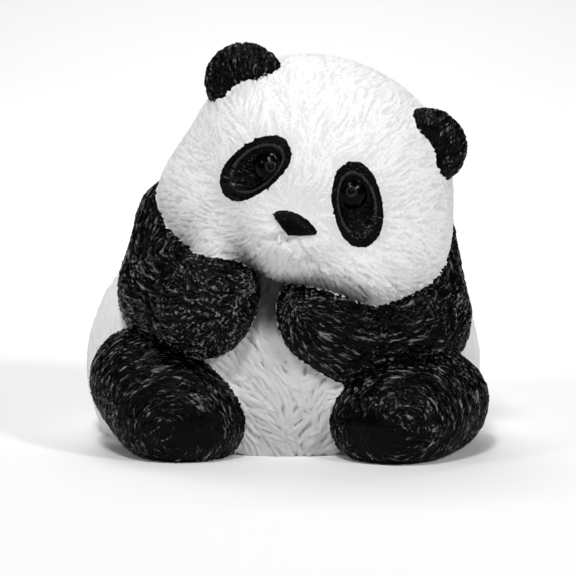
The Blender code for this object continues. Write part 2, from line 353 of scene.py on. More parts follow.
    def nose_outline(self, local: Array) -> Array:
        """How far points lie inside the nose's three-cornered outline.

        Args:
            local: Points in the head's own frame.

        Returns:
            One distance for each point.
        """
        x, _, z = local.T
        lower = -4.75 + np.where(x < 0, -0.62 * x, 0.33 * x)
        sides = np.minimum(x + 5.5, 5.8 - x)
        return np.minimum(np.minimum(self.nose_top(x) - z, 0.85 * (z - lower)), sides)

    def nose(self, local: Array) -> Array:
        """Distance to the nose, a pad on the face, for points in the head's own frame."""
        pad = joined(self.nose_outline(local), self.nose_out - self.skin(local), 0.8)
        return np.maximum(-pad, local[:, 1] - self.nose_point[1] - 5.0)

    def distance(self, points: Array) -> Array:
        """Distance to the head with its eyes, mouth and nose.

        Args:
            points: Points to measure from.

        Returns:
            One distance for each point.
        """
        local = self.local(points)
        total = self.skin(local)
        for side in Side:
            bowl, ball = self.eye_forms(side)
            total = hollowed(total, bowl.distance(local), 0.9)
            total = joined(total, ball.distance(local), 0.35)
        for bar in self.creases:
            total = hollowed(total, bar.distance(local), 1.5)
        return joined(total, self.nose(local), 0.5)

    def ear(self, side: Side) -> Egg:
        """Disc of one ear."""
        return self.ear_eggs[self.index(side)]

    def ear_dish(self, side: Side) -> Egg:
        """Hollow in the front of one ear."""
        x, y, z = self.ear(side).centre
        return Egg((x + side.value * 0.3, y - 6.2, z + 0.6), self.dish)

    def ear_distance(self, points: Array, side: Side) -> Array:
        """Distance to one dished ear, for points of the figure."""
        local = self.local(points)
        return hollowed(self.ear(side).distance(local), self.ear_dish(side).distance(local), 1.2)


@dataclass
class Body:
    """Trunk and limbs of the figure, and the head that sits on them."""

    head: Head
    limb_softness: float = 1.2
    # Softness within each of the groups that groups() gives
    softness: tuple[float, ...] = (8, 6, 5, 5, 5)
    trunk: tuple[Egg, ...] = (
        Egg((-0.9, 11, 17), (49.5, 35, 42)),
        Egg((2, 8, 44), (36, 28, 30)),
        Egg((2, -2, 17), (27, 21, 24)),
        Egg((0, 41, 11), (7, 8, 7)),
    )
    left_arm: tuple[Bar, ...] = (
        Bar((-24.9, 0.5, 54.0), (-28, -6, 41), 12.3, 12.1),
        Bar((-28, -9.5, 36.2), (-20.4, -22, 36.3), 11.9, 11.7),
        Bar((-20, -20, 40), (-14.4, -22.4, 41.6), 8, 6.6),
    )
    right_arm: tuple[Bar, ...] = (
        Bar((30.2, 6, 50), (32.4, -6, 33.5), 11.6, 12.1),
        Bar((31.5, -7, 29.5), (15, -15.8, 28), 12, 11.6),
        Bar((15, -15.8, 28.6), (8.8, -21.5, 33), 11.8, 10.3),
        Bar((5.2, -22, 37.6), (11, -20, 38), 5.6, 7.5),
    )
    left_leg: tuple[Egg, ...] = (
        Egg((-29.2, -10, 13.5), (19.8, 21, 14.8), (0, 28, 0)),
        Egg((-25.3, -20, 9), (15.2, 13, 12)),
    )
    right_leg: tuple[Egg, ...] = (
        Egg((29.6, -12, 11.5), (19, 21, 12.6), (0, -10, 0)),
        Egg((35.2, -6, 8.9), (13, 17, 12)),
        Egg((26, -21.5, 9), (15.2, 14, 12)),
    )

    def groups(self) -> tuple[tuple[Form, ...], ...]:
        """The forms of the trunk, the arms and the legs."""
        return self.trunk, self.left_arm, self.right_arm, self.left_leg, self.right_leg

    def fields(self, points: Array) -> Array:
        """Distances to every part of the figure.

        Args:
            points: Points to measure from.

        Returns:
            One row for each part, in the order of Part.
        """
        trunk, *limbs = [union(forms, points, soft) for forms, soft in zip(self.groups(), self.softness)]
        ears = [self.head.ear_distance(points, side) for side in (Side.RIGHT, Side.LEFT)]
        return np.stack([trunk, self.head.distance(points), *limbs, *ears])

    def distance(self, points: Array) -> Array:
        """Distance to the whole smooth figure, with its parts softly joined."""
        return blended(self.fields(points), self.limb_softness)

    def measured(self, points: Array, step: float = 0.06) -> tuple[Array, Array]:
        """Distance to the figure and the direction in which it grows, from four samples round each point.

        Args:
            points: Points to measure from.
            step: Reach of the samples.

        Returns:
            One distance and one direction for each point.
        """
        corners = np.array(((1, 1, 1), (1, -1, -1), (-1, 1, -1), (-1, -1, 1))) * step
        samples = np.stack([self.distance(points + corner) for corner in corners])
        return samples.mean(0), samples.T @ corners / (4 * step**2)

    def slopes(self, points: Array) -> Array:
        """Direction in which the distance to the figure grows, for each point."""
        return self.measured(points)[1]

    def settled(self, points: Array, rounds: int) -> Array:
        """Points moved on to the smooth skin.

        Args:
            points: Points near the skin.
            rounds: Number of moves.

        Returns:
            The moved points.
        """
        for _ in range(rounds):
            gap, slope = self.measured(points)
            size = np.maximum((slope**2).sum(-1), 0.2)
            points = points - np.clip(gap / size, -1.2, 1.2)[:, None] * slope
        return points

    def owners(self, points: Array) -> Array:
        """Number of the part that owns each point."""
        return self.fields(points).argmin(0)

    def add_forms(self, mesh: bmesh.types.BMesh) -> None:
        """Add every form of the figure to a mesh, in metres.

        Args:
            mesh: Mesh that gets them.
        """
        for form in chain(*self.groups()):
            form.add_to(mesh, Matrix.Scale(UNIT, 4))
        for egg in self.head.eggs + self.head.ear_eggs:
            egg.add_to(mesh, self.head.frame_matrix())


@dataclass(frozen=True)
class Comb:
    """The marks of one modelling tool: size, share kept, jitter and waves of its strokes."""

    tall: float
    half_long: float
    half_wide: float
    share: float
    jitter: float
    wave: float


@dataclass
class Strokes:
    """Many strokes, as arrays with one row for each stroke."""

    place: Array
    upward: Array
    way: Array
    tall: Array
    half_long: Array
    half_wide: Array
    bend: Array

    def with_more(self, other: "Strokes") -> "Strokes":
        """These strokes followed by others."""
        return Strokes(*[np.concatenate([getattr(self, name), getattr(other, name)])
                         for name in self.__dataclass_fields__])


@dataclass
class Coat:
    """Fur combed over the figure, as many overlapping strokes of a modelling tool."""

    body: Body
    seed: int = 7
    # Usual gaps between the strokes, the tufts and the locks, and the box in which they are scattered
    spacing: float = 1.25
    tuft_spacing: float = 1.45
    lock_spacing: float = 4.4
    low_corner: Triple = (-53.0, -41.0, 0.0)
    high_corner: Triple = (53.0, 52.0, 103.0)
    # One comb for each part, in the order of Part
    combs: tuple[Comb, ...] = (
        Comb(0.85, 4.0, 0.72, 0.65, 11.0, 1.0),
        Comb(0.38, 3.2, 0.46, 0.85, 6.0, 1.0),
        Comb(0.90, 2.9, 0.42, 0.85, 10.0, 1.2),
        Comb(0.90, 2.7, 0.42, 0.85, 12.0, 1.4),
        Comb(0.85, 2.4, 0.44, 0.85, 14.0, 1.3),
        Comb(0.85, 2.3, 0.44, 0.85, 15.0, 1.4),
        Comb(0.85, 2.2, 0.46, 0.85, 10.0, 0.8),
        Comb(0.85, 2.2, 0.46, 0.85, 10.0, 0.8),
    )
    lock_tall: float = 0.32
    lock_shares: tuple[float, ...] = (1.0, 0.35, 1.0, 1.0, 0.9, 0.9, 0.4, 0.4)
    # Smooth places: middle, half width and half height of each sole, middle and radius of each cheek roll
    soles: tuple[tuple[Triple, float, float], ...] = (
        ((-22.4, -33.0, 8.6), 6.6, 4.6), ((19.6, -34.5, 8.4), 6.4, 5.4))
    rolls: tuple[tuple[Triple, float], ...] = (((17.0, -27.4, 38.6), 3.2), ((12.4, -28.6, 39.6), 2.4))
    foot_middle: Triple = (27.5, -8.0, 9.0)
    # Brush streaks: how flat they are pressed along the fur, the reach of their waves, the girth that
    # arms, feet and head are brought to across the fur, the arms' core and how far past its ends they go
    press: float = 0.08
    ripple: float = 0.15
    arm_girth: float = 13.0
    foot_girth: float = 16.0
    head_girth: float = 26.0
    head_middle: Triple = (-1.0, -10.0, -3.0)
    arm_core: float = 4.0
    past_ends: float = 9.0

    def head_way(self, points: Array) -> Array:
        """Fur on the head runs out from the nose, and down the back.

        Args:
            points: Points on the skin.

        Returns:
            One direction for each point.
        """
        local = self.body.head.local(points)
        away = unit(local - self.body.head.nose_point - np.array((0, 3.0, 0)))
        back = smooth_step(-5, 20, local[:, 1:2])
        return self.body.head.outward(away * (1 - back) + np.array((0, 0.2, -1.0)) * back)

    def ear_way(self, points: Array, side: Side) -> Array:
        """Fur on an ear runs out to its rim."""
        head = self.body.head
        return head.outward(head.local(points) - (np.array(head.ear(side).centre) - (side.value * 4, 0, 4)))

    def trunk_way(self, points: Array) -> Array:
        """Fur on the body runs down, and together towards the middle of the belly.

        Args:
            points: Points on the skin.

        Returns:
            One direction for each point.
        """
        x, y, z = points.T
        gather = -1.2 * np.clip((x - 2.0) / 9, -1, 1) * smooth_step(4, -6, y) * smooth_step(36, 24, z)
        return np.stack([gather, np.zeros_like(x), -np.ones_like(x)], -1)

    def arm_way(self, points: Array, bars: tuple[Bar, ...]) -> Array:
        """Fur on an arm follows its bars, from the shoulder to the paw.

        Args:
            points: Points on the skin.
            bars: The arm's bars, of which the first three count.

        Returns:
            One direction for each point.
        """
        total = np.zeros_like(points)
        for bar in bars[:3]:
            weight = np.exp(-np.clip(bar.distance(points), -6, 30) / 2.5)[:, None]
            total += weight * bar.way()
        return total

    def leg_way(self, points: Array, side: Side) -> Array:
        """Fur on a leg sweeps round the foot."""
        return np.cross(np.array((0.0, -side.value, 0.25)), self.from_foot(points, side))

    def from_foot(self, points: Array, side: Side) -> Array:
        """Points measured from the middle of a foot."""
        return points - np.array(self.foot_middle) * (side.value, 1, 1)

    def ways(self, points: Array, owners: Array) -> Array:
        """Direction of the fur at each point.

        Args:
            points: Points on the skin.
            owners: Number of the part that owns each point.

        Returns:
            One direction for each point, not yet laid on the skin.
        """
        body = self.body
        makers = (self.trunk_way, self.head_way,
                  lambda p: self.arm_way(p, body.left_arm), lambda p: self.arm_way(p, body.right_arm),
                  lambda p: self.leg_way(p, Side.LEFT), lambda p: self.leg_way(p, Side.RIGHT),
                  lambda p: self.ear_way(p, Side.RIGHT), lambda p: self.ear_way(p, Side.LEFT))
        found = np.zeros_like(points)
        for part, maker in zip(Part, makers):
            mine = owners == part.value
            if mine.any():
                found[mine] = maker(points[mine])
        return found

    def brushed_arm(self, points: Array, bars: tuple[Bar, ...]) -> Array:
        """Pressed places on an arm: round each bar as they are, and pressed along it.

        Args:
            points: Points on the arm.
            bars: The arm's bars, of which the first three count.

        Returns:
            One place for each point.
        """
        nearest, walked, found = np.full(len(points), np.inf), 0.0, np.zeros_like(points)
        for bar in bars[:3]:
            start, length, away = np.array(bar.start), math.dist(bar.start, bar.end), bar.distance(points)
            ends = (-self.past_ends if bar is bars[0] else 0.0, self.past_ends if bar is bars[2] else 1.0)
            share = np.clip((points - start) @ bar.way() / length, *ends)[:, None]
            apart = points - start - share * length * bar.way()
            reach = np.linalg.norm(apart, axis=1)[:, None]
            closer = away < nearest
            across = apart / (reach + self.arm_core) * self.arm_girth
            found[closer] = (across + self.press * (walked + share * length))[closer]
            nearest, walked = np.minimum(nearest, away), walked + length
        return found

    def brushed_leg(self, points: Array, side: Side) -> Array:
        """Pressed places on a leg, where the fur runs in circles round the foot.

        Args:
            points: Points on the leg.
            side: Side of the leg.

        Returns:
            One place for each point.
        """
        x, y, z = self.from_foot(points, side).T
        turn = np.arctan2(z, side.value * x)
        return np.stack([y, np.hypot(x, z), self.press * self.foot_girth * turn], -1)

    def brushed(self, points: Array, owners: Array) -> Array:
        """Place of each point in a space that is pressed flat along the fur, for brush streaks.

        Args:
            points: Points on the skin.
            owners: Number of the part that owns each point.

        Returns:
            One place for each point, in the pressed space of its own part.
        """
        found = points * (1.0, 1.0, self.press)
        for part, bars in ((Part.LEFT_ARM, self.body.left_arm), (Part.RIGHT_ARM, self.body.right_arm)):
            found[owners == part.value] = self.brushed_arm(points[owners == part.value], bars)
        for part, side in ((Part.LEFT_LEG, Side.LEFT), (Part.RIGHT_LEG, Side.RIGHT)):
            found[owners == part.value] = self.brushed_leg(points[owners == part.value], side)
        mine = owners == Part.HEAD.value
        local = self.body.head.local(points[mine]) - self.head_middle
        reach = np.linalg.norm(local, axis=1)[:, None]
        found[mine] = local / reach * self.head_girth + self.press * reach
        x, y, z = points.T
        waves = np.sin([1.1 * x + 0.5 * z, 0.9 * z - 0.6 * x + 0.4 * y, 0.8 * y + 0.7 * x + 0.9 * z]).T
        return found + self.ripple * waves

    def wander(self, points: Array) -> Array:
        """Slow waves in the combing.

        Args:
            points: Points on the skin.

        Returns:
            One angle in radians for each point.
        """
        x, y, z = points.T
        slow = 0.24 * np.sin(0.42 * x + 0.31 * z + 0.6) + 0.18 * np.sin(0.37 * z - 0.45 * y + 0.29 * x + 2.1)
        return slow + 0.16 * np.sin(1.1 * x - 0.9 * y + 0.3) * np.sin(1.2 * z + 0.7 * x)

    def bare(self, points: Array, owners: Array) -> Array:
        """Share of the stroke height that is kept: little on eyes, nose, cheek rolls, ear dishes and soles.

        Args:
            points: Points on the skin.
            owners: Number of the part that owns each point.

        Returns:
            One share for each point.
        """
        head = self.body.head
        local = head.local(points)
        share = np.ones(len(points))
        on_face = (owners == Part.HEAD.value) & (local[:, 1] < -12)
        for side in Side:
            across, _, along = head.in_eye(side, local).T
            ring = np.sqrt((across / head.patch[0]) ** 2 + (along / head.patch[1]) ** 2)
            share = np.where(on_face, share * smooth_step(0.98, 1.3, ring), share)
            dish = head.ear_dish(side).distance(local)
            share = np.where((owners > Part.RIGHT_LEG.value) & (dish < -1.5), 0.15, share)
        share = np.where(on_face, share * smooth_step(0.3, 0.9, head.nose(local)), share)
        from_muzzle = local - head.nose_point - np.array((0, 0, 3.0))
        muzzle = np.linalg.norm(from_muzzle / np.array((6, 9, 5)), axis=-1)
        share = np.where(on_face, share * (0.55 + 0.45 * smooth_step(0.6, 1.4, muzzle)), share)
        legs = (owners == Part.LEFT_LEG.value) | (owners == Part.RIGHT_LEG.value)
        for middle, wide, tall in self.soles:
            ring = np.linalg.norm((points - np.array(middle)) / np.array((wide, 6.0, tall)), axis=-1)
            share = np.where(legs, share * (0.1 + 0.9 * smooth_step(0.75, 1.25, ring)), share)
        for middle, radius in self.rolls:
            ring = np.linalg.norm(points - np.array(middle), axis=-1) / radius
            share = np.where(on_face, share * smooth_step(0.7, 1.2, ring), share)
        return share * smooth_step(0, 2.0, points[:, 2])

    def bristle(self, points: Array) -> Array:
        """How much taller the strokes stand on the chin, and where the head meets the chest and arms.

        Args:
            points: Points on the skin.

        Returns:
            One factor for each point.
        """
        rows = self.body.fields(points)
        gap = rows[:Part.RIGHT_EAR.value].copy()
        gap[Part.HEAD.value] = 99.0
        local = self.body.head.local(points)
        rim = smooth_step(4.0, 1.0, gap.min(0))
        rim = rim * smooth_step(8, -4, local[:, 2]) * smooth_step(4, -8, points[:, 1])
        chin = smooth_step(-8.5, -13, local[:, 2]) * smooth_step(-12, -20, local[:, 1])
        return 1.0 + 0.9 * rim + 0.7 * chin

    def seeds(self, spacing: float, seed: int) -> Array:
        """Scattered places on the skin.

        Args:
            spacing: Usual gap between them.
            seed: Number that fixes the scatter.

        Returns:
            The places, one row for each.
        """
        lows, highs = np.array(self.low_corner), np.array(self.high_corner)
        counts = np.ceil((highs - lows) / spacing).astype(int)
        grid = np.indices(counts).reshape(3, -1).T
        chance = np.random.default_rng(seed)
        points = lows + (grid + chance.random(grid.shape)) * spacing
        points = points[np.abs(self.body.distance(points)) < spacing / 2]
        points = self.body.settled(points, 4)
        return points[(np.abs(self.body.distance(points)) < 0.1) & (points[:, 2] > 0.8)]

    def laid(self, places: Array, ways: Array, sizes: tuple[Array, Array, Array], bend: Array) -> Strokes:
        """Strokes with their directions laid on the skin.

        Args:
            places: Middle of each stroke.
            ways: Rough direction of each.
            sizes: Heights, half lengths and half widths.
            bend: How much each curves.

        Returns:
            The strokes.
        """
        upward = unit(self.body.slopes(places))
        way = unit(ways - (ways * upward).sum(-1, keepdims=True) * upward)
        return Strokes(places, upward, way, *sizes, bend)

    def fur(self) -> Strokes:
        """The strokes that cover every part, larger and lower behind.

        Returns:
            The strokes.
        """
        places = self.seeds(self.spacing, self.seed)
        chance = np.random.default_rng(self.seed + 1)
        owners = self.body.owners(places)
        table = np.array([astuple(comb) for comb in self.combs])
        behind = smooth_step(10, 26, places[:, 1])
        kept = chance.random(len(places)) < table[owners, 3] * (1 - 0.45 * behind)
        places, owners, behind = places[kept], owners[kept], behind[kept]
        tall, half_long, half_wide, _, jitter, wave = table[owners].T
        count = len(places)
        upward = unit(self.body.slopes(places))
        way = self.ways(places, owners)
        way = unit(way - (way * upward).sum(-1, keepdims=True) * upward)
        angle = (self.wander(places) * wave + np.radians(chance.normal(0, 1, count) * jitter))[:, None]
        way = way * np.cos(angle) + np.cross(upward, way) * np.sin(angle)
        bristle = np.where(owners == Part.HEAD.value, self.bristle(places), 1.0)
        tall = tall * self.bare(places, owners) * bristle
        sizes = (tall * chance.uniform(0.6, 1.15, count) * (1 - 0.3 * behind),
                 half_long * chance.uniform(0.7, 1.25, count) * (1 + 0.3 * behind),
                 half_wide * chance.uniform(0.75, 1.2, count) * (1 + 0.45 * behind) * (0.7 + 0.3 * bristle))
        return Strokes(places, upward, way, *sizes, chance.normal(0, 0.5, count))

    def eye_fur(self) -> Strokes:
        """Short strokes across the lower part of each eye bowl.

        Returns:
            The strokes.
        """
        head = self.body.head
        chance = np.random.default_rng(self.seed + 2)
        places = []
        for side in Side:
            across, inward, along = turned(head.eye_turn(side)).T
            for row in np.arange(-7.8, 0.8, 0.9):
                for column in (-2.4, 0.0, 2.4):
                    x, z = column + chance.normal(0, 0.5), row + chance.normal(0, 0.15)
                    middle = head.eye_points[head.index(side)]
                    places.append(head.placed(middle + across * x + along * z + inward * 2.0))
        points = self.body.settled(np.array(places), 5)
        count = len(points)
        clear = head.ball_distance(head.local(points)) > 0.9
        ways = head.outward(np.array((1.0, 0.0, 0.0)) + chance.normal(0, 0.12, (count, 3)))
        sizes = (0.80 * clear * chance.uniform(0.7, 1.1, count), 2.2 * chance.uniform(0.8, 1.2, count),
                 np.full(count, 0.38))
        return self.laid(points, ways, sizes, chance.normal(0, 0.4, count))

    def nose_fur(self) -> Strokes:
        """A fringe of short strokes along the top of the nose.

        Returns:
            The strokes.
        """
        head = self.body.head
        chance = np.random.default_rng(self.seed + 3)
        places = []
        for x in np.arange(-4.4, 5.0, 0.8):
            height = head.nose_top(x) - 0.7 + chance.normal(0, 0.15)
            places.append(head.placed(np.array((x, head.nose_point[1] - 1.0, height))))
        points = self.body.settled(np.array(places), 4)
        count = len(points)
        ways = head.outward(np.array((0.25, -0.3, -1.0)) + chance.normal(0, 0.2, (count, 3)))
        sizes = (np.full(count, 0.7), 0.95 * chance.uniform(0.8, 1.2, count), np.full(count, 0.38))
        return self.laid(points, ways, sizes, chance.normal(0, 0.3, count))

    def tufts(self) -> Strokes:
        """Curled tufts along the lower edge of the head, over the chest and the arms.

        Returns:
            The strokes.
        """
        places = self.seeds(self.tuft_spacing, self.seed + 6)
        upward = self.body.slopes(places)
        local = self.body.head.local(places)
        low = (self.body.owners(places) == Part.HEAD.value) & (local[:, 1] < -3) & (local[:, 0] > -15)
        furred = self.bare(places, np.full(len(places), Part.HEAD.value)) > 0.5
        low &= (upward[:, 2] < -0.3) & (local[:, 2] < -11) & furred
        places = places[low]
        chance = np.random.default_rng(self.seed + 7)
        count = len(places)
        sizes = tuple(chance.uniform(*ends, count) for ends in ((0.4, 1.5), (0.9, 1.6), (0.4, 0.6)))
        return self.laid(places, self.head_way(places), sizes, chance.normal(0, 0.9, count))

    def locks(self) -> Strokes:
        """Broad low locks under the strokes, which make the coat uneven.

        Returns:
            The locks, as strokes.
        """
        places = self.seeds(self.lock_spacing, self.seed + 4)
        chance = np.random.default_rng(self.seed + 5)
        owners = self.body.owners(places)
        count = len(places)
        strength = np.array(self.lock_shares)[owners]
        sizes = (self.lock_tall * strength * self.bare(places, owners) * chance.uniform(0.5, 1.1, count),
                 5.4 * chance.uniform(0.75, 1.2, count), 2.6 * chance.uniform(0.8, 1.2, count))
        return self.laid(places, self.ways(places, owners), sizes, chance.normal(0, 0.2, count))

    def raised(self, points: Array, normals: Array, strokes: Strokes) -> Array:
        """Height that strokes give to points of the smooth skin.

        Args:
            points: Points on the smooth skin.
            normals: Outward direction at each point.
            strokes: The strokes, of which the highest counts.

        Returns:
            One height for each point.
        """
        # The points are sorted into cells, counted from 64 below zero and coded in steps of 256
        cell = 2.6
        keys = np.floor(points / cell).astype(int) + 64
        codes = (keys[:, 0] * 256 + keys[:, 1]) * 256 + keys[:, 2]
        order = np.argsort(codes, kind="stable")
        found, starts = np.unique(codes[order], return_index=True)
        ends = np.append(starts[1:], len(codes))
        cells = {int(code): order[start:end] for code, start, end in zip(found, starts, ends)}
        height = np.zeros(len(points))
        beside = np.cross(strokes.upward, strokes.way)
        for index, place in enumerate(strokes.place):
            tall, reach = strokes.tall[index], strokes.half_long[index]
            if tall < 0.02:
                continue
            low = np.floor((place - reach) / cell).astype(int) + 64
            high = np.floor((place + reach) / cell).astype(int) + 64
            groups = [cells[code] for x in range(low[0], high[0] + 1) for y in range(low[1], high[1] + 1)
                      for z in range(low[2], high[2] + 1) if (code := (x * 256 + y) * 256 + z) in cells]
            if not groups:
                continue
            near = np.concatenate(groups)
            offset = points[near] - place
            along = offset @ strokes.way[index] / reach
            across = offset @ beside[index] / strokes.half_wide[index]
            across = across - strokes.bend[index] * (along**2 - 0.3)
            taper = np.clip(1 - along**4, 0, 1)
            ridge = np.clip(1 - np.abs(across / np.maximum(taper, 1e-3) ** 0.6) ** 1.25, 0, 1) * taper**0.45
            ridge *= tall * (0.62 + 0.38 * along)
            ridge[normals[near] @ strokes.upward[index] < 0.3] = 0
            height[near] = np.maximum(height[near], ridge)
        return height

    def features(self, points: Array) -> Array:
        """Raised rims of the bowls and lids of the eyes, and rings sunk in the eyeballs.

        Args:
            points: Points on the skin.

        Returns:
            One height for each point.
        """
        head = self.body.head
        local = head.local(points)
        skin = head.skin(local)
        height = head.lip_height * np.exp(-((head.bowl_rim(local) / 0.4) ** 2))
        for side in Side:
            bowl, ball = head.eye_forms(side)
            in_bowl = smooth_step(0.3, -0.3, bowl.distance(local)) * smooth_step(0.2, -0.8, skin)
            height += 0.30 * np.exp(-(((ball.distance(local) - 0.75) / 0.32) ** 2)) * in_bowl
        rim = head.iris(local)
        height -= 0.14 * np.exp(-(((rim - 1.8) / 0.35) ** 2)) + 0.16 * np.exp(-((rim / 0.6) ** 2))
        return height

    def heights(self, points: Array, normals: Array) -> Array:
        """Height of the whole coat above the smooth skin.

        Args:
            points: Points on the skin.
            normals: Outward direction at each point.

        Returns:
            One height for each point.
        """
        fine = self.fur().with_more(self.eye_fur()).with_more(self.nose_fur()).with_more(self.tufts())
        coat = self.raised(points, normals, self.locks()) + self.raised(points, normals, fine)
        return coat + self.features(points)


def with_modifier(mesh: bmesh.types.BMesh, kind: str, settings: dict[str, Any],
                  group: str = "") -> bmesh.types.BMesh:
    """A mesh run through one modifier.

    Args:
        mesh: Mesh to change, which is used up.
        kind: Kind of modifier.
        settings: The modifier's settings by name.
        group: Name for the mesh's group of points, where the modifier is kept to one.

    Returns:
        The changed mesh.
    """
    holder = holder_of(mesh, "working")
    modifier = holder.modifiers.new(kind.lower(), kind)
    if group:
        modifier.vertex_group = holder.vertex_groups.new(name=group).name
    for name, value in settings.items():
        setattr(modifier, name, value)
    shown = holder.evaluated_get(bpy.context.evaluated_depsgraph_get())
    changed = bmesh.new()
    changed.from_mesh(shown.to_mesh())
    shown.to_mesh_clear()
    bpy.data.objects.remove(holder)
    return changed


def holder_of(mesh: bmesh.types.BMesh, name: str) -> bpy.types.Object:
    """An object in the scene that holds a mesh.

    Args:
        mesh: Mesh to hold, which is used up.
        name: Name of the object and its data.

    Returns:
        The object.
    """
    data = bpy.data.meshes.new(name)
    mesh.to_mesh(data)
    mesh.free()
    holder = bpy.data.objects.new(name, data)
    bpy.context.scene.collection.objects.link(holder)
    return holder


def cut_level(mesh: bmesh.types.BMesh, height: float) -> None:
    """Cut a closed mesh flat, keep what is above, and close the cut.

    Args:
        mesh: Mesh to cut.
        height: Height of the cut in metres.
    """
    geometry = list(mesh.verts) + list(mesh.edges) + list(mesh.faces)
    cut = bmesh.ops.bisect_plane(mesh, geom=geometry, dist=1e-7, plane_co=(0, 0, height),
                                 plane_no=(0, 0, 1), clear_inner=True)
    edges = [item for item in cut["geom_cut"] if isinstance(item, bmesh.types.BMEdge)]
    bmesh.ops.holes_fill(mesh, edges=edges, sides=0)
    bmesh.ops.triangulate(mesh, faces=[face for face in mesh.faces if len(face.verts) > 4])
    bmesh.ops.recalc_face_normals(mesh, faces=mesh.faces)


@dataclass
class Figurine:
    """The casting as one finished piece."""

    body: Body
    coat: Coat
    # Size of the finest faces in metres, most triangles in all and in front, and height of the first cut
    grain: float = 0.00029
    triangles: int = 196000
    front_triangles: int = 150000
    below: float = -1.2

    def settle(self, mesh: bmesh.types.BMesh, rounds: int) -> tuple[list[bmesh.types.BMVert], Array]:
        """Move a mesh on to the smooth skin, and even its points out.

        Args:
            mesh: Closed mesh near the skin.
            rounds: Number of moves.

        Returns:
            The moved points of the mesh, and their places.
        """
        above = [vert for vert in mesh.verts if vert.co.z > (self.below + 0.6) * UNIT]
        bmesh.ops.smooth_vert(mesh, verts=above, factor=0.5,
                              use_axis_x=True, use_axis_y=True, use_axis_z=True)
        points = self.body.settled(np.array([vert.co for vert in above]) / UNIT, rounds)
        for vert, place in zip(above, points * UNIT):
            vert.co = place
        return above, points

    def remeshed(self, mesh: bmesh.types.BMesh, size: float) -> bmesh.types.BMesh:
        """A mesh made again from even faces of one size."""
        return with_modifier(mesh, "REMESH", {"mode": "VOXEL", "voxel_size": size, "adaptivity": 0.0})

    def even_mesh(self) -> bmesh.types.BMesh:
        """The smooth figure, with its bowls, dishes and eyeballs.

        Returns:
            One closed mesh of small even faces.
        """
        mesh = bmesh.new()
        self.body.add_forms(mesh)
        mesh = self.remeshed(mesh, 2 * self.grain)
        cut_level(mesh, self.below * UNIT)
        for _ in range(2):
            self.settle(mesh, 2)
        return self.remeshed(mesh, self.grain)

    def combed_mesh(self) -> bmesh.types.BMesh:
        """The smooth figure with the fur raised on it.

        Returns:
            One closed mesh of triangles.
        """
        mesh = self.even_mesh()
        above, points = self.settle(mesh, 2)
        LOG.info("%d points on the smooth skin", len(above))
        normals = unit(self.body.slopes(points))
        points += normals * self.coat.heights(points, normals)[:, None]
        for vert, place in zip(above, points * UNIT):
            vert.co = place
        bmesh.ops.triangulate(mesh, faces=mesh.faces)
        return mesh

    def thinned_mesh(self) -> bmesh.types.BMesh:
        """The combed mesh with fewer triangles, most of them in front, cut flat at the underside.

        Returns:
            One closed mesh of triangles.
        """
        mesh = self.combed_mesh()
        mesh.normal_update()
        front = sum(face.normal.y < 0.25 for face in mesh.faces)
        share = min(1.0, self.front_triangles / front)
        mesh = with_modifier(mesh, "DECIMATE", {"decimate_type": "COLLAPSE", "ratio": share})
        mesh.normal_update()
        layer = mesh.verts.layers.deform.verify()
        for vert in mesh.verts:
            vert[layer][0] = 1.0 if vert.normal.y > 0.25 else 0.0
        share = min(1.0, self.triangles / len(mesh.faces))
        mesh = with_modifier(mesh, "DECIMATE", {"decimate_type": "COLLAPSE", "ratio": share}, "behind")
        cut_level(mesh, 0.0)
        bmesh.ops.dissolve_degenerate(mesh, dist=1e-6, edges=mesh.edges)
        bmesh.ops.triangulate(mesh, faces=mesh.faces)
        return mesh

    def paint_edge(self, points: Array) -> Array:
        """How far each point lies inside the black paint, negative on the white.

        Args:
            points: Points on the figure.

        Returns:
            Distance to the nearest edge of the black paint, in hundredths of the height.
        """
        head = self.body.head
        local = head.local(points)
        rows = self.body.fields(points)
        black_rows = [part.value for part in BLACK_PARTS]
        trunk, skull = rows[Part.TRUNK.value], rows[Part.HEAD.value]
        black = 0.5 * (np.minimum(trunk, skull) - rows[black_rows].min(0))
        on_head = (skull < trunk + 0.5) & (black < 0.5)
        for side in Side:
            across, _, along = head.in_eye(side, local).T
            wide, long = head.patch
            ring = (np.abs(across / wide) ** 2.3 + np.abs(along / long) ** 2.3) ** (1 / 2.3)
            patch = (1 - ring) * wide * 1.5
            black = np.where(on_head & (local[:, 1] < -14), np.maximum(black, patch), black)
        nose = np.where(head.nose(local) < 1.0, 2.0 * head.nose_outline(local) + 0.3, -1.0)
        black = np.where(on_head, np.maximum(black, nose), black)
        x, y, z = points.T
        band = np.minimum(np.minimum(z - 45 - 0.12 * np.abs(x), y - 2), 0.5 * (skull - trunk))
        return np.where(trunk < skull, np.maximum(black, band), black)

    def painted_shade(self, points: Array) -> Array:
        """Share of painted shade: dark grey in the folds of the chest, down the belly and under the chin,
        where the head and arms shade them.

        Args:
            points: Points on the figure.

        Returns:
            One share for each point.
        """
        rows = self.body.fields(points)
        gap = rows[[Part.HEAD.value, Part.LEFT_ARM.value, Part.RIGHT_ARM.value]].min(0)
        x, y, z = points.T
        middle = smooth_step(16, 8, np.abs(x + 1)) * smooth_step(0, -6, y)
        # Painted shade in the fold between the arms under the chin, and lighter painted shade down the middle
        # of the chest and belly
        fold = smooth_step(25, 35, z) * smooth_step(11, 5, gap)
        chest = np.maximum(fold, 0.32 * smooth_step(52, 40, z)) * middle
        local = self.body.head.local(points)
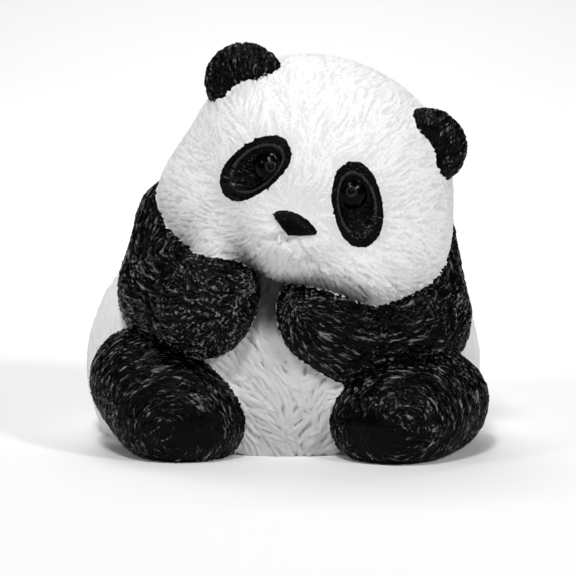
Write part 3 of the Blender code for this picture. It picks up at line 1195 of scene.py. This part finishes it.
        # Painted shade under the chin, darker where the chin comes close to the chest and arms
        under = smooth_step(-7, -15, local[:, 2]) * smooth_step(-6, -16, local[:, 1])
        below = rows[[Part.TRUNK.value, Part.LEFT_ARM.value, Part.RIGHT_ARM.value]].min(0)
        close = smooth_step(8.0, 0.5, below)
        face = under * (0.16 + 0.8 * close * smooth_step(-16, -9, x) * smooth_step(26, 16, x))
        owner = rows.argmin(0)
        shade_grey = np.where(owner == Part.TRUNK.value, chest, 0.0)
        return np.where(owner == Part.HEAD.value, face, shade_grey)

    def build(self) -> bpy.types.Object:
        """Make the piece, with its paint, painted shade and fur measures kept on its points.

        Returns:
            The finished object.
        """
        mesh = self.thinned_mesh()
        points = np.array([vert.co for vert in mesh.verts]) / UNIT
        shift = (-FORMS_MIDDLE[0] * UNIT, -FORMS_MIDDLE[1] * UNIT, 0.0)
        bmesh.ops.translate(mesh, verts=mesh.verts, vec=shift)
        piece = holder_of(mesh, "painted_casting")
        data = piece.data
        head = self.body.head
        local = head.local(points)
        measures = {
            "paint_edge": self.paint_edge(points),
            "fur_height": self.body.distance(points),
            "polish": smooth_step(0.9, 0.3, head.ball_distance(local)),
            "skull": smooth_step(2, 0, head.skin(local)),
            "painted_shade": self.painted_shade(points),
            "iris": head.iris(local),
            "rim": head.bowl_rim(local),
        }
        for name, values in measures.items():
            layer = data.attributes.new(name, "FLOAT", "POINT")
            layer.data.foreach_set("value", values.astype(np.float32))
        layer = data.attributes.new("brushed", "FLOAT_VECTOR", "POINT")
        brushed = self.coat.brushed(points, self.body.owners(points))
        layer.data.foreach_set("vector", (brushed * UNIT).astype(np.float32).ravel())
        data.shade_smooth()
        data.set_sharp_from_angle(angle=math.radians(75))
        return piece


class Wire:
    """A node socket that takes part in Python expressions."""

    def __init__(self, board: "Board", socket: bpy.types.NodeSocket) -> None:
        """Keep the socket and the board that its node is on."""
        self.board = board
        self.socket = socket

    def math(self, operation: str, *others: "Link", first: bool = True) -> "Wire":
        """The result of a Math node on this socket and others, this one first or last."""
        values = (self, *others) if first else (*others, self)
        return self.board.value("ShaderNodeMath", {"operation": operation}, dict(enumerate(values)))

    def __add__(self, other: "Link") -> "Wire":
        """Sum."""
        return self.math("ADD", other)

    __radd__ = __add__

    def __mul__(self, other: "Link") -> "Wire":
        """Product."""
        return self.math("MULTIPLY", other)

    __rmul__ = __mul__

    def __sub__(self, other: "Link") -> "Wire":
        """Difference."""
        return self.math("SUBTRACT", other)

    def __rsub__(self, other: "Link") -> "Wire":
        """Difference the other way round."""
        return self.math("SUBTRACT", other, first=False)

    def ramp(self, low: float, high: float, start: float = 0.0, end: float = 1.0) -> "Wire":
        """This value eased from start at low to end at high.

        Args:
            low: Value that gives start.
            high: Value that gives end.
            start: Result at low.
            end: Result at high.

        Returns:
            The eased value.
        """
        ends = {"From Min": low, "From Max": high, "To Min": start, "To Max": end}
        eased = {"interpolation_type": "SMOOTHSTEP"}
        return self.board.value("ShaderNodeMapRange", eased, {"Value": self, **ends})


Link = Union[Wire, float, tuple]
Settings = dict[str, Any]


@dataclass
class Board:
    """The nodes of one material."""

    name: str

    def __post_init__(self) -> None:
        """Make the material and clear its tree."""
        self.material = bpy.data.materials.new(self.name)
        self.material.use_nodes = True
        self.tree = self.material.node_tree
        self.tree.nodes.clear()

    def add(self, kind: str, settings: Settings, sockets: dict[Any, Link]) -> bpy.types.Node:
        """Add a node.

        Args:
            kind: The node's type.
            settings: Its properties by name, set first.
            sockets: Values or wires for its input sockets, by name or number.

        Returns:
            The node.
        """
        made = self.tree.nodes.new(kind)
        for name, value in settings.items():
            setattr(made, name, value)
        for name, value in sockets.items():
            if isinstance(value, Wire):
                self.tree.links.new(value.socket, made.inputs[name])
            else:
                made.inputs[name].default_value = value
        return made

    def value(self, kind: str, settings: Settings, sockets: dict[Any, Link],
              result: Union[str, int] = 0) -> Wire:
        """Add a node, and hand back one of its outputs, by name or number."""
        return Wire(self, self.add(kind, settings, sockets).outputs[result])

    def measure(self, name: str) -> Wire:
        """A measure kept on the piece's points."""
        return self.value("ShaderNodeAttribute", {"attribute_name": name}, {}, "Fac")

    def noise(self, scale: float, detail: float = 2.0) -> Wire:
        """Noise on the piece's own place, around 0.5."""
        place = self.value("ShaderNodeTexCoord", {}, {}, "Object")
        return self.value("ShaderNodeTexNoise", {}, {"Vector": place, "Scale": scale, "Detail": detail})

    def streaks(self, scale: float) -> Wire:
        """Noise drawn out along the fur, around 0."""
        place = self.value("ShaderNodeAttribute", {"attribute_name": "brushed"}, {}, "Vector")
        return self.value("ShaderNodeTexNoise", {}, {"Vector": place, "Scale": scale, "Detail": 2.0}) - 0.5

    def mix(self, share: Link, first: Link, second: Link) -> Wire:
        """Colour that goes from the first to the second as the share goes from 0 to 1."""
        return self.value("ShaderNodeMix", {"data_type": "RGBA"}, {0: share, 6: first, 7: second}, 2)

    def surface(self, sockets: dict[Any, Link]) -> bpy.types.Material:
        """Give the material its one shader.

        Args:
            sockets: Values or wires for the shader's input sockets, by name.

        Returns:
            The finished material.
        """
        shader = self.value("ShaderNodeBsdfPrincipled", {}, sockets)
        self.add("ShaderNodeOutputMaterial", {}, {"Surface": shader})
        return self.material


@dataclass(frozen=True)
class CastingPaint:
    """Hand-brushed finish of the casting: matt white, and gloss black that stops at a ragged edge, with
    painted shade in the grooves, folds and under the chin, and painted highlights on the black fur crests and
    the eyes.
    """

    white: Triple = (0.85, 0.85, 0.845)
    # Grey of the painted shade in the grooves of the white fur
    groove_shade_grey: Triple = (0.42, 0.42, 0.41)
    # Dark grey of the painted shade under the chin, between the arms and down the belly
    shade_grey: Triple = (0.025, 0.025, 0.025)
    black: Triple = (0.0005, 0.0005, 0.0005)
    # Pale grey of the painted highlights on the crests of the black fur
    painted_highlight: Triple = (0.28, 0.28, 0.28)
    # Grey of the eyeball rings, and of the painted highlights at the eyeball middles and along the eye bowl
    # lips
    ring: Triple = (0.06, 0.06, 0.06)
    white_roughness: float = 0.6
    black_roughness: float = 0.21
    ball_roughness: float = 0.12
    gloss: float = 0.065

    def material(self) -> bpy.types.Material:
        """Make the material.

        Returns:
            The finished material.
        """
        board = Board("casting_paint")
        edge, fur, polish = map(board.measure, ("paint_edge", "fur_height", "polish"))
        ragged = board.noise(900.0) - 0.5
        inked = (edge + ragged * 0.9 - (fur - 0.3) * 0.3).ramp(-0.06, 0.06)
        streak = board.streaks(1500.0)
        # Painted shade: the white darkens to grey in the low grooves between strokes, less on the head and
        # more where the painted shade of chest and chin lies
        groove_shade = (fur + streak * 0.5).ramp(0.32, 0.05) * board.measure("skull").ramp(0.0, 1.0, 0.6, 0.40)
        cloud = board.noise(60.0).ramp(0.3, 0.7)
        groove_shade = (groove_shade + (fur + streak * 0.5).ramp(0.5, 0.1) * board.measure("painted_shade")).ramp(0.0, 1.0)
        clean = board.mix(groove_shade + cloud * 0.04, (*self.white, 1.0), (*self.groove_shade_grey, 1.0))
        # Painted shade: the white darkens towards dark grey under the chin, between the arms and down the
        # belly
        pale = board.mix(board.measure("painted_shade") * (0.92 + cloud * 0.08), clean, (*self.shade_grey, 1.0))
        iris = board.measure("iris")
        # Lighter grey ring round each eyeball's line of sight, and a painted highlight at its middle
        ring = iris.ramp(0.8, 1.0) * iris.ramp(1.5, 1.2) * 0.3 + iris.ramp(0.4, 0.2) * 0.2
        # Painted highlight: a broken line of lighter grey along the lip of each eye bowl, where the lip would
        # catch the light
        ring = ring + (board.measure("rim") - streak * 0.8).ramp(0.42, 0.12) * 0.5
        # Painted highlight: the black turns pale grey on the fur crests and along the brush streaks, away
        # from the eyeballs, standing in for the glints of the gloss paint
        highlight_share = (fur * 0.8 + streak * 2.0).ramp(0.42, 1.2) * (1.0 - polish)
        painted_highlight = board.mix(highlight_share, (*self.black, 1.0), (*self.painted_highlight, 1.0))
        dark = board.mix(ring, painted_highlight, (*self.ring, 1.0))
        grain = board.noise(2600.0, 3.0)
        height = grain * 0.04 + streak * (0.10 + inked * 0.50) * (1.0 - polish)
        bump = board.value("ShaderNodeBump", {}, {"Strength": 0.8, "Distance": 0.0007, "Height": height})
        smooth = self.black_roughness - polish * (self.black_roughness - self.ball_roughness)
        rough = self.white_roughness - inked * (self.white_roughness - smooth) + cloud * 0.04
        return board.surface({"Base Color": board.mix(inked, pale, dark), "Roughness": rough,
                              "Specular IOR Level": self.gloss, "Normal": bump})


@dataclass(frozen=True)
class PaleFloor:
    """Plain matt finish of the studio floor."""

    colour: Triple = (0.92, 0.92, 0.92)

    def material(self) -> bpy.types.Material:
        """Make the material."""
        return Board("pale_floor").surface({"Base Color": (*self.colour, 1.0), "Roughness": 0.9})


@dataclass(frozen=True)
class SoftBox:
    """A square studio light and the point that it faces."""

    name: str
    place: Triple
    size: float
    radiance: float
    target: Triple = (0.0, 0.0, 0.05)

    def build(self) -> None:
        """Make the light."""
        light = bpy.data.lights.new(self.name, "AREA")
        light.size = self.size
        light.energy = self.radiance * math.pi * self.size**2
        holder = bpy.data.objects.new(self.name, light)
        holder.location = self.place
        holder.rotation_euler = (Vector(self.target) - Vector(self.place)).to_track_quat("-Z", "Y").to_euler()
        bpy.context.scene.collection.objects.link(holder)


@dataclass
class Studio:
    """Floor, lights and camera round the figurine."""

    elevation: float = 8.0
    distance: float = 0.55 * UNIT * 1000
    lens: float = 137.5
    aim: Triple = (0.25, 0.0, 38.1)
    boxes: tuple[SoftBox, ...] = (
        SoftBox("key_light", (-0.10, -0.44, 0.72), 0.12, 66.0),
        SoftBox("right_light", (0.48, -0.46, 0.50), 0.10, 74.0),
        SoftBox("left_light", (-0.58, -0.32, 0.46), 0.10, 26.0),
        SoftBox("front_light", (0.10, -0.95, 0.40), 0.40, 0.9),
        SoftBox("top_light", (-0.15, 0.20, 0.80), 0.35, 3.5),
        SoftBox("backdrop_light", (0.0, 0.45, 0.95), 0.60, 11.0, (0.0, 1.6, 0.2)),
    )
    sky: float = 0.10

    def floor(self) -> None:
        """Make the floor, which rises behind the figurine."""
        mesh = bmesh.new()
        bmesh.ops.create_grid(mesh, x_segments=2, y_segments=24, size=1.0)
        for vert in mesh.verts:
            rise = max(0.0, vert.co.y - 0.2)
            vert.co = Vector((vert.co.x * 2.5, vert.co.y * 2.0 + 0.4, 1.6 * rise**1.8))
        floor = holder_of(mesh, "studio_floor")
        floor.data.shade_smooth()
        floor.data.materials.append(PaleFloor().material())

    def camera(self) -> None:
        """Make the camera at the photograph's view."""
        middle = Vector(((self.aim[0] - FORMS_MIDDLE[0]) * UNIT, (self.aim[1] - FORMS_MIDDLE[1]) * UNIT,
                         self.aim[2] * UNIT))
        angle = math.radians(self.elevation)
        back = Vector((0.0, -math.cos(angle), math.sin(angle)))
        lens = bpy.data.cameras.new("studio_camera")
        lens.sensor_width = 36.0
        lens.lens = self.lens
        lens.clip_start = 0.01
        camera = bpy.data.objects.new("studio_camera", lens)
        camera.location = middle + back * self.distance
        camera.rotation_euler = (-back).to_track_quat("-Z", "Y").to_euler()
        bpy.context.scene.collection.objects.link(camera)
        bpy.context.scene.camera = camera

    def build(self) -> None:
        """Make the floor, the lights, the sky and the camera."""
        self.floor()
        for box in self.boxes:
            box.build()
        world = bpy.data.worlds.new("studio_sky")
        world.use_nodes = True
        sky = world.node_tree.nodes["Background"]
        sky.inputs["Color"].default_value = (1.0, 1.0, 1.0, 1.0)
        sky.inputs["Strength"].default_value = self.sky
        bpy.context.scene.world = world
        bpy.context.scene.view_settings.view_transform = "Standard"
        self.camera()


def main() -> None:
    """Build the studio and the figurine, and report each piece."""
    logging.basicConfig(level=logging.INFO, format="%(message)s")
    Studio().build()
    LOG.info("studio is set")
    body = Body(Head())
    figurine = Figurine(body, Coat(body))
    piece = figurine.build()
    piece.data.materials.append(CastingPaint().material())
    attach(piece, "root")
    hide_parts(NODE)
    LOG.info("%s has %d triangles", piece.name, len(piece.data.polygons))
    bpy.context.view_layer.update()


if __name__ == "__main__":
    main()
